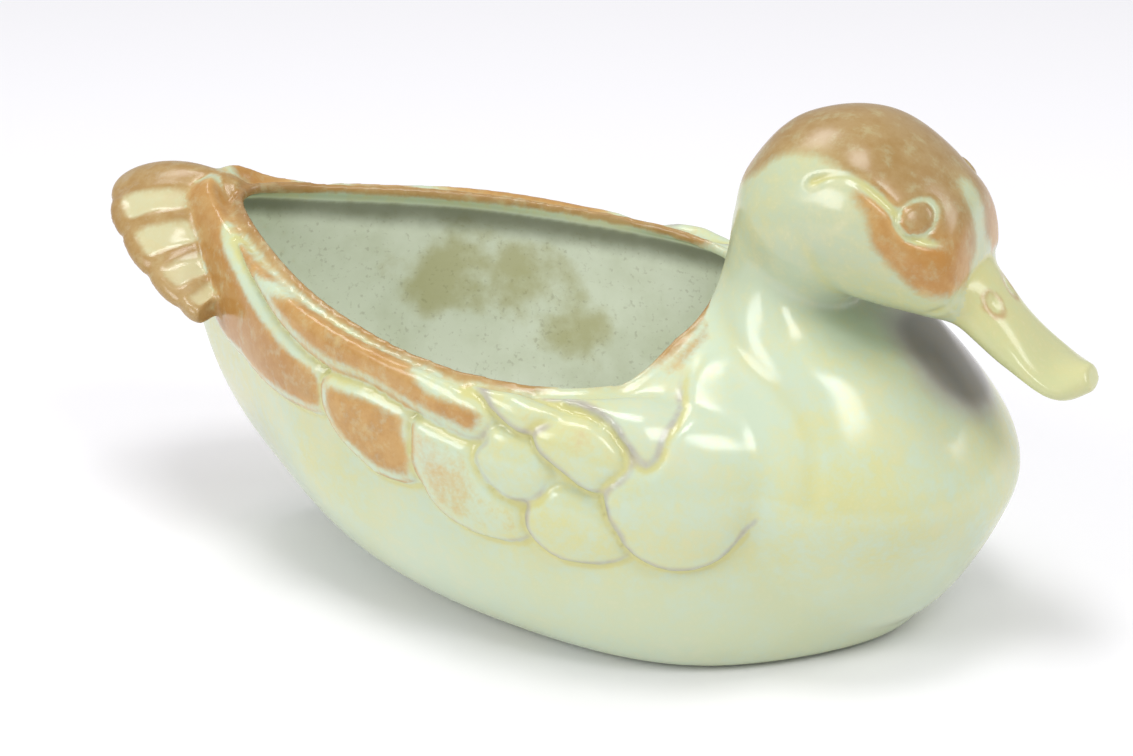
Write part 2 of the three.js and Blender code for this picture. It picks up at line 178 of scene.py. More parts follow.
wing = {
    "groove": 1.25, "grooveWidth": 1.2, "softEdge": 0.4, "tilt": 0.85,
    "tipRise": 3.2,
    "feathers": [
        {"name": "primary", "base": 1.7, "crown": 1.5, "slope": 2.6, "rust": 1.0,
         "loop": [(183, 2.2), (184, 1.45), (195, 1.28), (206, 1.07), (218, 0.98), (232, 1.02),
                  (242, 1.08), (250, 1.16), (252, 1.32), (250, 1.47), (241, 1.53), (231, 1.65),
                  (218, 1.9), (209, 2.1), (200, 2.3)]},
        {"name": "secondTip", "base": 1.2, "crown": 1.9, "slope": 3.2, "rust": 0.75,
         "loop": [(252, 1.45), (250, 1.26), (252, 1.1), (257, 0.99), (264, 0.98), (267, 1.05),
                  (266, 1.3), (268, 1.42), (261, 1.5)]},
        {"name": "thirdTip", "base": 1.1, "crown": 1.9, "slope": 3.6, "rust": 0.28,
         "loop": [(268, 1.4), (265.5, 1.24), (265.5, 1.05), (269, 0.93), (276, 0.89), (282, 0.93),
                  (283, 1.06), (280, 1.2), (278, 1.37)]},
        {"name": "longBand", "base": 1.3, "crown": 1.6, "slope": 2.8, "rust": 0.85,
         "loop": [(217, 1.93), (225, 1.8), (233, 1.69), (241, 1.57), (252, 1.48), (260, 1.5),
                  (268, 1.42), (276, 1.37), (280, 1.48), (286, 1.76), (282, 2.0), (268, 2.2),
                  (252, 2.15), (236, 2.02), (225, 1.98)]},
        {"name": "cushion", "base": 1.0, "crown": 1.5, "slope": 3.0, "rust": 0.05,
         "loop": [(282, 1.06), (282, 0.96), (286, 0.885), (292, 0.885), (296, 0.93), (296, 1.02),
                  (294, 1.13), (288, 1.2), (283, 1.16)]},
        {"name": "middleTip", "base": 1.2, "crown": 1.8, "slope": 3.0, "rust": 0.1,
         "loop": [(279, 1.42), (276, 1.3), (276.5, 1.17), (280, 1.08), (284, 1.13), (287, 1.29),
                  (288, 1.43), (285, 1.52), (281, 1.5)]},
        {"name": "rimTip", "base": 1.2, "crown": 1.7, "slope": 3.0, "rust": 0.15,
         "loop": [(286, 1.82), (284.5, 1.64), (286, 1.53), (290, 1.56), (295, 1.66), (300, 1.8),
                  (302, 2.1), (290, 2.1)]},
        {"name": "shoulderTip", "base": 1.3, "crown": 1.8, "slope": 3.2, "rust": 0.06,
         "loop": [(288.5, 1.56), (287, 1.44), (288.5, 1.33), (292, 1.22), (297, 1.27), (301, 1.38),
                  (304, 1.6), (304, 1.78), (298, 1.74), (293, 1.66)]},
        {"name": "shoulder", "base": 1.3, "crown": 1.6, "slope": 5.0, "rust": 0.0,
         "loop": [(294, 1.24), (293.5, 1.08), (296, 0.95), (301, 0.885), (307, 0.9), (312, 1.0),
                  (318, 1.18), (325, 1.4), (338, 1.6), (345, 2.3), (312, 2.3), (305, 1.8),
                  (300, 1.42)]},
        {"name": "scapular", "base": 1.6, "crown": 0.9, "slope": 5.0, "rust": 0.0,
         "loop": [(304, 1.74), (302, 1.56), (301.5, 1.4), (304.5, 1.44), (309, 1.57), (316, 1.7),
                  (328, 1.9), (345, 2.1), (345, 2.4), (306, 2.3)]},
    ],
}


def carveWing(degrees, level, points):
    count = degrees.size
    flat = points.reshape(-1, 3)
    d, v = degrees.ravel(), level.ravel()
    side = np.where(d > 180, d, 360 - d)
    mirrored = flat.copy()
    mirrored[:, 1] = -np.abs(flat[:, 1])
    relief = np.zeros(count)
    mask = np.zeros(count)
    groove = np.zeros(count)
    edge = np.zeros(count)
    rust = np.zeros(count)
    for feather in wing["feathers"]:
        loop = closedCurve(feather["loop"], 26 * len(feather["loop"]))
        curve = bodyPoint(np.radians(loop[:, 0]), loop[:, 1])
        curve[:, 2] += np.maximum(loop[:, 1] - 2, 0) * 30
        low, high = loop.min(0), loop.max(0)
        near = ((side > low[0] - 6) & (side < high[0] + 6)
                & (v > low[1] - 0.2) & (v < high[1] + 0.2))
        away = nearestDistance(mirrored[near], curve)
        inside = insideLoop(side[near], v[near], loop)
        signed = np.where(inside, away, -away)
        cover = ease(signed, -wing["softEdge"], wing["softEdge"])
        reach = np.maximum(signed, 0)
        middle, half = (low[0] + high[0]) / 2, (high[0] - low[0]) / 2
        tilt = np.clip((middle - side[near]) / max(half, 1), -1, 1)
        lowness = np.clip(((low[1] + high[1]) / 2 - v[near]) * 2 / (high[1] - low[1]), -1, 1)
        shown = ease(tilt + lowness, -0.8, 0.2)
        height = feather["base"] + feather["crown"] * (1 - np.exp(-reach / feather["slope"]))
        height = height + wing["tilt"] * tilt
        if feather["name"] == "primary":
            height = height + wing["tipRise"] * (1 - ease(side[near], 188, 208))
        outside = np.exp(-(np.maximum(-signed, 0) / wing["grooveWidth"]) ** 2) * (1 - cover) * shown
        lowered = relief[near] - wing["groove"] * outside * (0.35 + 0.65 * mask[near])
        relief[near] = lowered * (1 - cover) + height * cover
        mask[near] = np.maximum(mask[near], cover)
        groove[near] = np.maximum(groove[near] * (1 - cover), outside)
        line = np.exp(-((signed - 0.6) / 0.7) ** 2) * shown
        edge[near] = np.maximum(edge[near] * (1 - cover), line)
        heart = feather["rust"] * ease(reach, 1.2, 4.2)
        rust[near] = rust[near] * (1 - cover) + heart * cover
    shape = degrees.shape
    return [a.reshape(shape) for a in (relief, mask, groove, edge, rust)]


# Closed skins made of rows of points

def gridTriangles(rows, columns):
    i, j = np.meshgrid(np.arange(rows - 1), np.arange(columns), indexing="ij")
    a = (i * columns + j).ravel()
    b = (i * columns + (j + 1) % columns).ravel()
    one = np.stack([a, b, b + columns], -1)
    two = np.stack([a, b + columns, a + columns], -1)
    return np.concatenate([one, two])


def closedSkin(rows):  # rows of equal length that close round, capped at both ends
    count, columns = rows.shape[:2]
    points = np.concatenate([rows.reshape(-1, 3), rows[0].mean(0)[None], rows[-1].mean(0)[None]])
    faces = gridTriangles(count, columns)
    j = np.arange(columns)
    k = (j + 1) % columns
    first = np.full(columns, count * columns)
    capA = np.stack([first, k, j], -1)
    capB = np.stack([first + 1, (count - 1) * columns + j, (count - 1) * columns + k], -1)
    faces = np.concatenate([faces, capA, capB])
    a, b, c = points[faces[:, 0]], points[faces[:, 1]], points[faces[:, 2]]
    if (a * np.cross(b, c)).sum() < 0:
        faces = faces[:, ::-1]
    return points, faces


def makeMesh(name, points, faces):
    mesh = bpy.data.meshes.new(name)
    corners = faces.shape[1]
    mesh.vertices.add(len(points))
    mesh.vertices.foreach_set("co", (np.asarray(points) * mm).astype(np.float32).ravel())
    mesh.loops.add(faces.size)
    mesh.loops.foreach_set("vertex_index", faces.astype(np.int32).ravel())
    mesh.polygons.add(len(faces))
    mesh.polygons.foreach_set("loop_start", np.arange(0, faces.size, corners, dtype=np.int32))
    mesh.update(calc_edges=True)
    thing = bpy.data.objects.new(name, mesh)
    scene.collection.objects.link(thing)
    return thing


# Breast, neck and head: stations with a front point, a back point and a half-width

front = {
    "front": [(66, 1), (88, 7), (102.8, 29.5), (104.3, 44.3), (89.7, 65.7), (76.1, 73), (69.7, 77),
              (72.8, 80.3), (80, 78.8), (85.7, 77.9), (92.3, 77.4), (96.1, 79.6), (96, 87)],
    "back": [(60, 1), (38, 6), (24, 28), (24, 50), (30, 70), (40.2, 85), (42.8, 97),
             (46.1, 107), (56.9, 117.7), (75.4, 119.7), (93.5, 106), (96.9, 93.2), (96.2, 88)],
    "half": [3, 25, 38, 41, 30, 22, 18.8, 21, 21.8, 21.9, 18.8, 13.3, 1.5],
    "neckJoint": 77.4,
}

bill = {
    "front": [(84, 81), (94, 76), (104.8, 68.3), (117, 63), (123.2, 64.6)],
    "back": [(86, 97), (97.3, 89.6), (105.5, 79.1), (113.4, 70.9), (121, 69.6)],
    "half": [12.5, 11.5, 10.5, 10.8, 4],
}


def loftRows(piece, rows, columns):
    u = np.linspace(0, 1, rows)
    fore = openCurve(piece["front"], rows)
    aft = openCurve(piece["back"], rows)
    half = np.maximum(through(piece["half"], u), 0.5)
    turn = np.linspace(0, 2 * math.pi, columns, endpoint=False)
    middle, reach = (fore + aft) / 2, (fore - aft) / 2
    x = middle[:, :1] + reach[:, :1] * np.cos(turn)
    z = middle[:, 1:] + reach[:, 1:] * np.cos(turn)
    y = half[:, None] * np.sin(turn)
    return np.stack([x, y, z], -1)


# Tail: a fan with one wide middle feather and four scooped ones on each side

tail = {
    "edgeX": -119.5, "rootX": -80, "half": 30.5, "edgeHeight": 79.8, "sideHeight": 62,
    "thick": 6.5, "spread": 88, "scallop": 1.1, "arch": 3.0, "rootRise": 1.5,
    "middleShare": 0.2, "sideFeathers": 4, "scoop": 1.3, "columns": 420, "rows": 90,
}


def tailRows():
    u = np.linspace(0, 1, tail["columns"])
    angle = np.radians(tail["spread"]) * (2 * u - 1)
    c, s = np.cos(angle), np.sin(angle)
    share = np.abs(2 * u - 1)
    sideways = (share - tail["middleShare"]) / (1 - tail["middleShare"]) * tail["sideFeathers"]
    feather = np.where(share < tail["middleShare"], share / tail["middleShare"] * 0.5 + 0.5,
                       sideways - np.floor(sideways))
    feather = np.clip(np.sin(math.pi * feather), 0, 1)
    wide = share < tail["middleShare"]
    bump = tail["scallop"] * np.sqrt(feather)
    edge = np.stack([tail["rootX"] + (tail["edgeX"] - tail["rootX"]) * c ** 1.6 - bump * c,
                     (tail["half"] + bump) * s,
                     tail["sideHeight"] + (tail["edgeHeight"] - tail["sideHeight"]) * c ** 2.2], -1)
    root = np.stack([tail["rootX"] - 6 * c, 0.4 * tail["half"] * s, edge[:, 2] + tail["rootRise"] * c], -1)
    half = tail["rows"] // 2
    along = np.concatenate([np.sin(np.linspace(0, math.pi / 2, half)),
                            np.cos(np.linspace(0, math.pi / 2, half))])
    sign = np.concatenate([np.ones(half), -np.ones(half)])
    v = along[None, :, None]
    point = root[:, None] * (1 - v) + edge[:, None] * v
    thick = 0.5 * tail["thick"] * np.sqrt(np.maximum(1 - along ** 8, 0))
    window = ease(along, 0.3, 0.42) * (1 - ease(along, 0.82, 0.94))
    scoop = np.where(wide, 0, ease(feather, 0.25, 0.8))[:, None] * window[None]
    lift = thick[None] * (0.8 + 0.2 * feather[:, None]) - tail["scoop"] * scoop * (sign > 0)
    point[..., 2] += tail["arch"] * c[:, None] * np.sin(along * math.pi)[None] + sign[None] * lift
    return point, scoop * (sign[None] > 0)


# The clay: every form joined into one skin, like a cast and fired body

def zero(part):
    return np.zeros(part.shape[:2])


def claySkins():
    turns = np.linspace(0, 2 * math.pi, body["columns"], endpoint=False)
    levels = np.linspace(0, 2, body["rows"])
    angle, level = np.meshgrid(turns, levels)
    outer = bodyPoint(angle, level)
    relief, mask, groove, edge, rust = carveWing(np.degrees(angle), level, outer)
    near = ease(level, 1.88, 2.0)
    relief = relief * (1 - near) + np.clip(relief, 0, 1.0) * near
    outer = outer + bodyNormal(angle, level) * relief[..., None]
    # the lip rises gently to a crest near its inner edge and drops round into the mouth
    lipPlace = np.linspace(0, 1, 16)[1:-1]
    rimOut, rimIn = outer[-1], hollowPoint(turns, np.full_like(turns, 2.0))
    lip = []
    for place in lipPlace:
        across = 1 - (1 - place) ** 1.5
        row = rimOut * (1 - across) + rimIn * across
        rise = ease(place, 0, 0.6) if place < 0.6 else math.sqrt(1 - ((place - 0.6) / 0.4) ** 2)
        row[:, 2] += body["lipHeight"] * rise
        lip.append(row)
    lip = np.stack(lip)
    lipCrest = np.exp(-((lipPlace - 0.66) / 0.5) ** 2)[:, None] + zero(lip)
    innerLevels = np.linspace(2, 0, 110)
    innerAngle, innerLevel = np.meshgrid(turns, innerLevels)
    inner = hollowPoint(innerAngle, innerLevel)
    rows = np.concatenate([outer, lip, inner])
    marks = {
        "relief": np.concatenate([relief, zero(lip), zero(inner)]),
        "wing": np.concatenate([mask, zero(lip), zero(inner)]),
        "groove": np.concatenate([groove, zero(lip), zero(inner)]),
        "edge": np.concatenate([edge, zero(lip), zero(inner)]),
        "rust": np.concatenate([rust, zero(lip), zero(inner)]),
        "lip": np.concatenate([0.6 * ease(level, 1.9, 2.0), lipCrest, 0.55 * ease(innerLevel, 1.84, 2.0)]),
        "inside": np.concatenate([zero(outer), zero(lip), 1 - ease(innerLevel, 1.7, 1.8)]),
        "degrees": np.degrees(np.concatenate([angle, np.broadcast_to(turns, lip.shape[:2]), innerAngle])),
        "level": np.concatenate([level, zero(lip) + 2, innerLevel]),
    }
    return rows, marks


def hollowSkin():
    turns = np.linspace(0, 2 * math.pi, 240, endpoint=False)
    angle, level = np.meshgrid(turns, np.linspace(0, 2, 60))
    rows = hollowPoint(angle, level)
    above = rows[-1:] + np.array([0, 0, 3 * body["lipHeight"]])
    return closedSkin(np.concatenate([rows, above]))


voxel = 0.7

print("building the clay")
shellRows, shellMarks = claySkins()
shell = makeMesh("clay_shell", *closedSkin(shellRows))
frontRows = loftRows(front, 220, 200)
frontClay = makeMesh("clay_front", *closedSkin(frontRows))
hollowTool = makeMesh("clay_hollow", *hollowSkin())
billRows = loftRows(bill, 90, 90)
billClay = makeMesh("clay_bill", *closedSkin(billRows))
tailGrid, tailScoop = tailRows()
tailClay = makeMesh("clay_tail", *closedSkin(tailGrid))


def bake(thing):  # the mesh with its modifiers applied
    depsgraph = bpy.context.evaluated_depsgraph_get()
    done = bpy.data.meshes.new_from_object(thing.evaluated_get(depsgraph))
    thing.modifiers.clear()
    thing.data = done
    return thing


def discard(*things):
    for thing in things:
        bpy.data.objects.remove(thing)


for thing in (frontClay, tailClay):
    cut = thing.modifiers.new("cut", "BOOLEAN")
    cut.operation = "DIFFERENCE"
    cut.object = hollowTool
    cut.solver = "EXACT"
    bake(thing)
    print(thing.name, "cut,", len(thing.data.polygons), "faces")

bpy.ops.object.select_all(action="DESELECT")
for thing in (frontClay, billClay, tailClay, shell):
    thing.select_set(True)
bpy.context.view_layer.objects.active = shell
bpy.ops.object.join()
remesh = shell.modifiers.new("clay", "REMESH")
remesh.mode = "VOXEL"
remesh.voxel_size = voxel * mm
bake(shell)

count = len(shell.data.vertices)
skin = np.zeros(count * 3, np.float32)
shell.data.vertices.foreach_get("co", skin)
skin = skin.reshape(-1, 3).astype(float) / mm
quads = np.zeros(len(shell.data.polygons) * 4, np.int32)
shell.data.polygons.foreach_get("vertices", quads)
quads = quads.reshape(-1, 4)
discard(hollowTool)
print("clay skin", count, "points", len(quads), "faces")

# Every point of the skin learns where it came from

markNames = ["relief", "wing", "groove", "edge", "rust", "lip", "inside", "degrees", "level"]
sources = [shellRows.reshape(-1, 3), frontRows.reshape(-1, 3), billRows.reshape(-1, 3),
           tailGrid.reshape(-1, 3)]
sourceKind = np.concatenate([np.full(len(s), k) for k, s in enumerate(sources)])
sourcePoints = np.concatenate(sources)
sourceMarks = np.zeros((len(sourcePoints), len(markNames) + 1))
for k, name in enumerate(markNames):
    sourceMarks[:shellRows.shape[0] * shellRows.shape[1], k] = shellMarks[name].ravel()
tailStart = len(sourcePoints) - tailGrid.shape[0] * tailGrid.shape[1]
sourceMarks[tailStart:, -1] = tailScoop.ravel()

tree = kdtree.KDTree(len(sourcePoints))
for i, p in enumerate(sourcePoints):
    tree.insert(p, i)
tree.balance()
nearest = np.fromiter((tree.find(p)[1] for p in skin), int, count)
kind = sourceKind[nearest]
marks = {name: sourceMarks[nearest, k] for k, name in enumerate(markNames + ["scoop"])}
print("marks read")

edges = np.concatenate([quads[:, [0, 1]], quads[:, [1, 2]], quads[:, [2, 3]], quads[:, [3, 0]]])
edges = np.unique(np.sort(edges, axis=1), axis=0)
valence = np.bincount(edges.ravel(), minlength=count).astype(float)


def blur(values, times=1, strength=0.5):
    values = values.astype(float)
    flat = values.reshape(count, -1)
    for _ in range(times):
        for k in range(flat.shape[1]):
            column = flat[:, k]
            total = (np.bincount(edges[:, 0], column[edges[:, 1]], count)
                     + np.bincount(edges[:, 1], column[edges[:, 0]], count))
            flat[:, k] = column + (total / valence - column) * strength
    return flat.reshape(values.shape)


def skinNormals(points):
    normals = np.cross(points[quads[:, 2]] - points[quads[:, 0]], points[quads[:, 3]] - points[quads[:, 1]])
    total = np.zeros_like(points)
    for k in range(4):
        for axis in range(3):
            total[:, axis] += np.bincount(quads[:, k], normals[:, axis], count)
    return unit(total)


for name in marks:
    if name not in ("degrees", "level"):
        marks[name] = blur(marks[name], 2)

# the joints of neck, shoulders and bill are worked round, the rest only lightly
mixed = np.zeros(count)
differs = (kind[edges[:, 0]] != kind[edges[:, 1]]) & (kind[edges].max(1) < 3)
mixed[edges[differs].ravel()] = 1
fillet = np.clip(blur(mixed, 70) * 9, 0, 1)
skin = blur(skin, 2)
skin = blur(skin, 40, 0.5 * fillet)
print("fillets worked")

# Head: brow line, eyes, face and bill lines are pressed into the clay

head = {
    "brow": [(66, 18.3, 110), (70, 18.6, 112), (75, 18.6, 112), (80, 18.6, 109), (84, 19, 106), (86, 19.3, 103)],
    "browUnderEye": [(86, 19.3, 103), (87.3, 19.2, 101.5), (90, 18.7, 100.3), (93.5, 16.8, 99.6)],
    "browDepth": 0.95, "browWidth": 1.05,
    "eye": (88.2, 17.2, 104.2), "eyeLong": 3.4, "eyeTall": 2.8, "eyeProud": 0.55, "eyeGroove": 0.45,
    "cheek": (73, 21, 103), "cheekRise": 0.9, "cheekSize": 9,
    "jaw": [(64, 20, 99), (66.5, 21, 94), (69, 18.5, 88), (70.5, 14, 83), (71, 8, 79.5)],
    "jawDepth": 0.4, "jawWidth": 2.2,
    "face": [(97, 0, 89.5), (97.3, 5, 89.2), (97, 11, 88), (95, 15, 86.3), (92, 15.5, 83), (88, 14.5, 79.5)],
    "faceDepth": 0.6, "faceWidth": 1.0,
    "nostril": (103.2, 5.6, 83.4), "nostrilDepth": 0.8, "nostrilSize": 2.0,
    "valley": [(44, 21, 80), (51, 25, 74), (56, 28, 71), (62, 30, 68), (67, 31.5, 64), (71, 34, 59),
               (73, 37, 53), (73.5, 39, 47)],
    "valleyDepth": 0.7, "valleyWidth": 2.8,
    "crownEdge": [104, 108.5, 113, 115.3, 115, 112.3, 108.5, 104, 98, 92],
    "facePatch": [(76, 109.5), (79, 106), (80, 103), (81, 99), (84, 95.5), (88, 90), (91, 82.5), (96, 84),
                  (98, 90), (97, 98), (93, 100.5), (89, 101), (86, 103), (84, 106.3), (80, 109)],
}

normals = skinNormals(skin)
mirror = skin.copy()
mirror[:, 1] = np.abs(mirror[:, 1])
headArea = (skin[:, 0] > 40) & (skin[:, 2] > 60)
browLine = np.concatenate([openCurve(head["brow"], 60), openCurve(head["browUnderEye"], 40)])
browGap = np.full(count, 99.0)
browGap[headArea] = nearestDistance(mirror[headArea], browLine)
faceGap = np.full(count, 99.0)
faceGap[headArea] = nearestDistance(mirror[headArea], openCurve(head["face"], 80))
jawGap = np.full(count, 99.0)
jawGap[headArea] = nearestDistance(mirror[headArea], openCurve(head["jaw"], 80))
valleyGap = np.full(count, 99.0)
shoulderArea = (skin[:, 0] > 30) & (skin[:, 2] > 35) & (marks["inside"] < 0.5)
valleyGap[shoulderArea] = nearestDistance(mirror[shoulderArea], openCurve(head["valley"], 120))
jaw = np.exp(-(jawGap / head["jawWidth"]) ** 2)
valley = np.exp(-(valleyGap / head["valleyWidth"]) ** 2)
eyeOffset = mirror - np.array(head["eye"])
alongEye = eyeOffset[:, 0] * 0.97 - eyeOffset[:, 1] * 0.24
eyeRing = np.hypot(alongEye / head["eyeLong"], eyeOffset[:, 2] / head["eyeTall"])
eyeRing[np.linalg.norm(eyeOffset, axis=1) > 9] = 9
cheek = np.exp(-((mirror - np.array(head["cheek"])) ** 2).sum(1) / head["cheekSize"] ** 2)
nostrilGap = np.linalg.norm((mirror - np.array(head["nostril"])) * [0.6, 1, 1], axis=1)
brow = np.exp(-(browGap / head["browWidth"]) ** 2) * ease(eyeRing, 0.9, 1.3)
faceLine = np.exp(-(faceGap / head["faceWidth"]) ** 2)
eyeDome = np.sqrt(np.clip(1 - eyeRing ** 2, 0, 1))
eyeMoat = np.exp(-((eyeRing - 1.15) / 0.2) ** 2)
nostril = np.exp(-(nostrilGap / head["nostrilSize"]) ** 2)
press = (head["cheekRise"] * cheek - head["browDepth"] * brow - head["faceDepth"] * faceLine
         + head["eyeProud"] * eyeDome - head["eyeGroove"] * eyeMoat - head["nostrilDepth"] * nostril
         - head["jawDepth"] * jaw - head["valleyDepth"] * valley)
skin = skin + normals * press[:, None]
skin = blur(skin, 1)
normals = skinNormals(skin)

# Where the glaze breaks: thin on crests, thick in hollows

laplace = (blur(skin, 1, 1.0) - skin)
bend = -(laplace * normals).sum(1) / voxel ** 2
crest = blur(bend, 4)
x, y, z = skin.T
side = np.where(marks["degrees"] > 180, marks["degrees"], 360 - marks["degrees"])
isFront, isBill, isTail = (kind == k for k in (1, 2, 3))
inside = np.clip(marks["inside"], 0, 1) * (1 - np.clip(marks["lip"], 0, 1))
lip = np.clip(marks["lip"], 0, 1)

owner = np.zeros(count, int)
owner[(kind == 1) & (z > front["neckJoint"])] = 1
owner[kind == 2] = 2
owner[(marks["wing"] > 0.5) & (kind == 0)] = 3
owner[kind == 3] = 4
owner[(eyeRing < 1.0) & headArea] = 5

# rust: how far the glaze has broken to brown, from -1 (never) to 1 (always)
wingShare = np.clip(marks["wing"], 0, 1)
sternness = 1 - ease(side, 262, 292)
wingRust = -0.6 + 1.3 * marks["rust"] + 1.1 * marks["edge"] * sternness
rust = -0.75 * (1 - wingShare) + wingRust * wingShare
rust -= 1.3 * marks["groove"] * (kind == 0)
shoulderRim = ease(side, 300, 309) * (1 - ease(side, 326, 336))
sternRim = 1 - ease(side, 200, 222)
rust = np.maximum(rust, -1 + lip * (2.0 - 1.25 * shoulderRim) + 0.9 * sternRim * ease(marks["level"], 1.93, 2.0))
rust = np.where(isTail, 0.6 - 1.05 * marks["scoop"] ** 0.8, rust)
headShare = ease(z, 84, 92) * (isFront | (eyeRing < 2))
crownEdge = through(head["crownEdge"], (x - 45) / 52)
crown = ease(z - crownEdge, -4.5, 3.0)
patch = closedCurve(head["facePatch"], 240)
patchGap = nearestDistance(np.stack([x, z], -1), patch)
patchSide = np.where(insideLoop(x, z, patch), patchGap, -patchGap)
facePatch = ease(patchSide, -4.0, 3.0) * ease(np.abs(y), 4, 9)
frontPale = np.exp(-(y / 4.5) ** 2) * ease(x, 89, 94) * ease(z, 86, 92)
headRust = -0.85 + 1.6 * np.maximum(crown, facePatch) - 1.2 * frontPale - 1.5 * brow * ease(eyeRing, 1, 1.2)
rust = rust * (1 - headShare) + headRust * headShare
rust = rust + 1.2 * np.clip(crest - 0.15, 0, 0.6) * (1 - 0.8 * isFront)
rust = np.where(owner == 5, 0.75, rust - 1.4 * eyeMoat)
nostrilRing = np.exp(-((nostrilGap - 2.8) / 1.0) ** 2)
billRust = -0.7 + 2.6 * np.clip(crest - 0.1, 0, 0.6) + 0.9 * nostrilRing
rust = np.where(isBill, billRust, rust)
rust = np.where(inside > 0.5, -1.0, rust)

# pool: glaze run thick and yellow; lilac: thin glaze on the forward edges and the breast
pool = np.clip(marks["groove"] * (kind == 0) * 1.6 + brow * 1.0 + 0.45 * valley + 0.5 * jaw + 0.6 * faceLine, 0, 1)
pool = np.maximum(pool, np.clip(-crest * 1.6 - 0.1, 0, 0.8) * (1 - inside) * (1 - 0.6 * isTail))
lilac = marks["edge"] * wingShare * ease(side, 262, 285) * 0.8
breast = np.exp(-(((x - 89) / 17) ** 2 + ((y - 6) / 17) ** 2 + ((z - 65) / 15) ** 2))
lilac = np.maximum(lilac, np.clip(breast * 2.0 - 0.3, 0, 1))
lilac = np.maximum(lilac, 0.6 * hump(x, -112, 12) * isTail * (marks["scoop"] < 0.2))
shade = ease(marks["level"], 1.2, 1.66) * inside
upper = np.where(isBill, 1.0, (ease(z, 66, 98) - 0.8 * (1 - ease(z, 12, 44))) * (1 - inside) * (1 - isTail))
# how orange the brown is: the face and the rear feathers more than the crown and the tail
ember = np.where(isFront, facePatch, np.where(isTail, 0.15, 0.35 + 0.5 * wingShare))
attributes = {
    "rust": blur(rust, 2), "pool": blur(pool, 1), "lilac": blur(lilac, 2),
    "inside": blur(inside, 2), "shade": blur(shade, 2), "ember": blur(ember, 6),
    "upper": blur(upper, 6),
}
print("glaze laid")


# Shader writing: a wrapped socket with ordinary arithmetic

class Wire:
    def __init__(self, tree, socket):
        self.tree = tree
        self.socket = socket

    def join(self, operation, one, two):
        node = self.tree.nodes.new("ShaderNodeMath")
        node.operation = operation
        for slot, value in zip(node.inputs, (one, two)):
            if isinstance(value, Wire):
                self.tree.links.new(value.socket, slot)
            else:
                slot.default_value = value
        return Wire(self.tree, node.outputs[0])

    def __add__(self, other):
        return self.join("ADD", self, other)

    def __radd__(self, other):
        return self.join("ADD", other, self)

    def __sub__(self, other):
        return self.join("SUBTRACT", self, other)

    def __rsub__(self, other):
        return self.join("SUBTRACT", other, self)

    def __mul__(self, other):
        return self.join("MULTIPLY", self, other)

    def __rmul__(self, other):
        return self.join("MULTIPLY", other, self)


class Glaze:
    def __init__(self, name, tree=None):
        if tree is None:
            self.material = bpy.data.materials.new(name)
            self.material.use_nodes = True
            tree = self.material.node_tree
        self.tree = tree
        self.tree.nodes.clear()

    def node(self, kind, settings=None, out=0, **sockets):
        node = self.tree.nodes.new(kind)
        for key, value in (settings or {}).items():
            setattr(node, key, value)
        for key, value in sockets.items():
            slot = node.inputs[int(key[1:])] if key[0] == "_" else node.inputs[key.replace("_", " ")]
            if isinstance(value, Wire):
                self.tree.links.new(value.socket, slot)
            else:
                slot.default_value = value
        return None if out is None else Wire(self.tree, node.outputs[out])

    def painted(self, name):
        return self.node("ShaderNodeAttribute", {"attribute_name": name}, out=2)

    def noise(self, size, detail=3.0, roughness=0.55, offset=0.0):  # size of a patch in mm
        place = self.node("ShaderNodeTexCoord", out=3)
        moved = self.node("ShaderNodeVectorMath", {"operation": "ADD"}, _0=place,
                          _1=(offset, offset * 0.7, -offset))
        return self.node("ShaderNodeTexNoise", None, Vector=moved, Scale=1000.0 / size,
                         Detail=detail, Roughness=roughness)

    def step(self, value, start, end):
        return self.node("ShaderNodeMapRange", {"interpolation_type": "SMOOTHSTEP"}, out=0,
                         Value=value, From_Min=start, From_Max=end)

    def mix(self, amount, one, two):
        return self.node("ShaderNodeMix", {"data_type": "RGBA"}, out=2, _0=amount, _6=one, _7=two)

    def finish(self, normal, **sockets):
        shader = self.node("ShaderNodeBsdfPrincipled", None, **sockets)
        self.tree.links.new(normal.socket, shader.socket.node.inputs["Normal"])
        self.node("ShaderNodeOutputMaterial", None, out=None, Surface=shader)
        return self.material


def paint(red, green, blue):  # a colour as seen on screen, 0 to 255
    def linear(c):
        c = c / 255
        return c / 12.92 if c <= 0.04045 else ((c + 0.055) / 1.055) ** 2.4
    return (linear(red), linear(green), linear(blue), 1.0)


glazeLook = {
    "cool": paint(198, 212, 186), "warm": paint(208, 206, 142), "white": paint(214, 219, 204),
    "coolUpper": paint(186, 198, 168), "warmUpper": paint(198, 197, 146),
    "rust": paint(160, 128, 76), "rustPale": paint(178, 154, 106), "rustDeep": paint(140, 98, 54),
    "ember": paint(182, 132, 68), "emberPale": paint(202, 160, 98),
    "pool": paint(204, 198, 126), "lilac": paint(172, 164, 162), "lilacDeep": paint(116, 106, 108),
    # inside and insideDark: the well's glaze painted lighter than the outside's, painted light that makes up for
    # the shade in the well
    "inside": paint(232, 238, 222), "insideDark": paint(214, 220, 198), "olive": paint(180, 174, 116),
    "shade": paint(92, 94, 68), "speck": paint(130, 124, 92), "roughness": 0.13, "roughnessVaries": 0.1,
}


